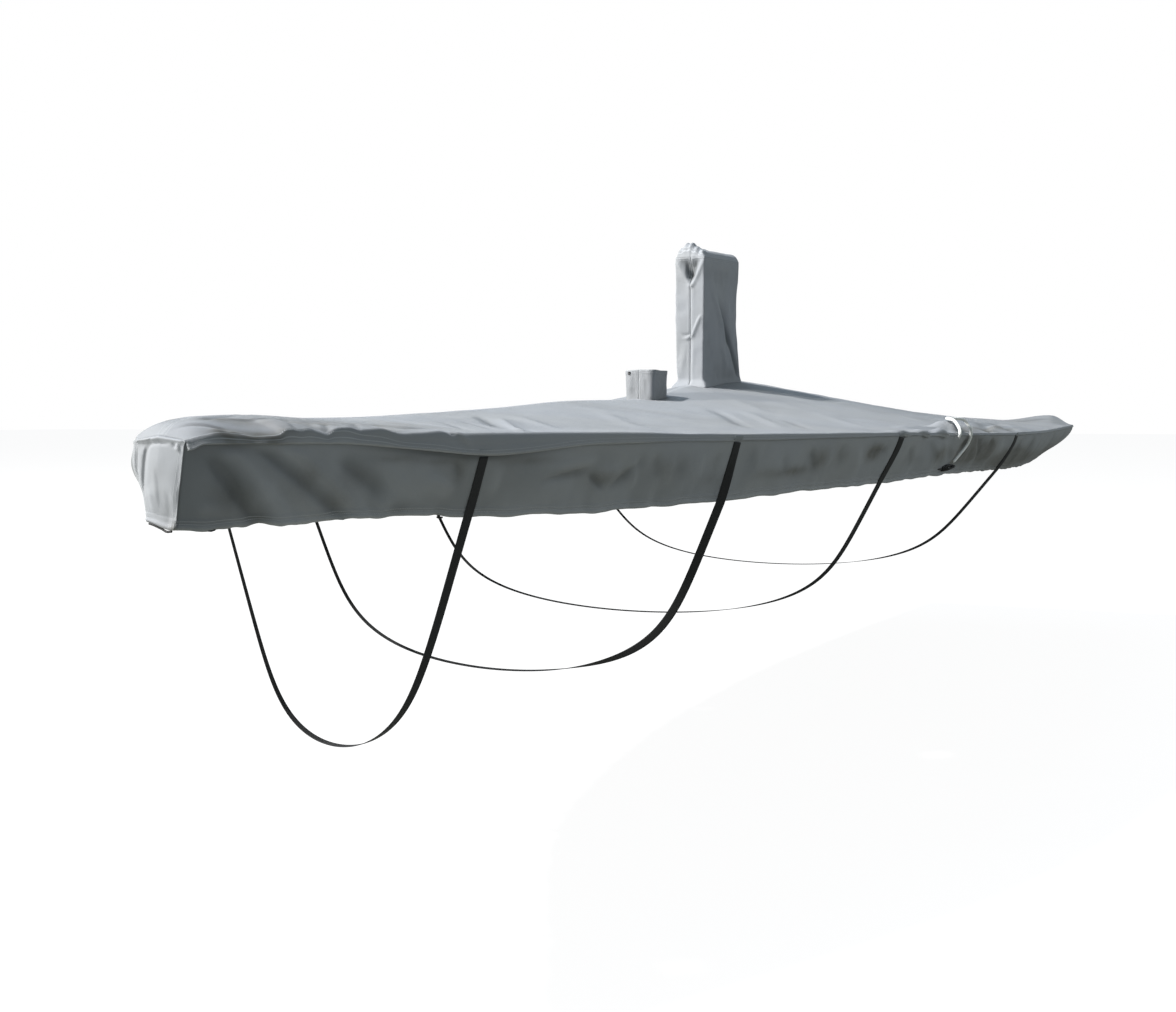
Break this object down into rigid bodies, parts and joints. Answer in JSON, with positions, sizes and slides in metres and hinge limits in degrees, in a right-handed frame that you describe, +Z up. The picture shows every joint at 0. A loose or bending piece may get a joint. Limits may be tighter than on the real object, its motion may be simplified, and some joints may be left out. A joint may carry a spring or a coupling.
{
  "type": "fitted boat cover",
  "caption": "Fitted mast-up cover for a small keelboat: ridged top, rolled edge, skirt, mast collar, tall keel hood, belly straps and a stay tie.",
  "frame": {"origin": "on the centreline at gunwale level, half way along the cover, under its top", "axes": "+X aft along the boat, +Y to starboard, +Z up"},
  "size_m": [7.5554, 2.2144, 1.5368],
  "materials": {
    "cover_cloth": "matte coated canvas, slightly sheeny",
    "strap_webbing": "woven black webbing",
    "tab_webbing": "folded grey tape",
    "tie_cord": "braided white cord",
    "black_cord": "braided black cord",
    "snap_stud": "black press stud"
  },
  "bodies": {
    "root": {"top_port": "cover_cloth", "top_starboard": "cover_cloth", "skirt_port": "cover_cloth", "skirt_starboard": "cover_cloth", "nose_panel": "cover_cloth", "stern_panel": "cover_cloth", "mast_collar": "cover_cloth", "collar_snap": "snap_stud", "keel_hood_wall": "cover_cloth", "keel_hood_top": "cover_cloth", "strap_bow": "strap_webbing", "strap_fore": "strap_webbing", "strap_mid": "strap_webbing", "strap_aft": "strap_webbing", "strap_tab_bow_port": "tab_webbing", "strap_tab_bow_starboard": "tab_webbing", "strap_tab_fore_port": "tab_webbing", "strap_tab_fore_starboard": "tab_webbing", "strap_tab_mid_port": "tab_webbing", "strap_tab_mid_starboard": "tab_webbing", "strap_tab_aft_port": "tab_webbing", "strap_tab_aft_starboard": "tab_webbing", "shroud_tie": "tie_cord", "tie_knot": "black_cord", "hem_cord_nose": "black_cord", "hem_cord_bow": "black_cord", "hem_cord_fore": "black_cord"}
  },
  "joints": []
}
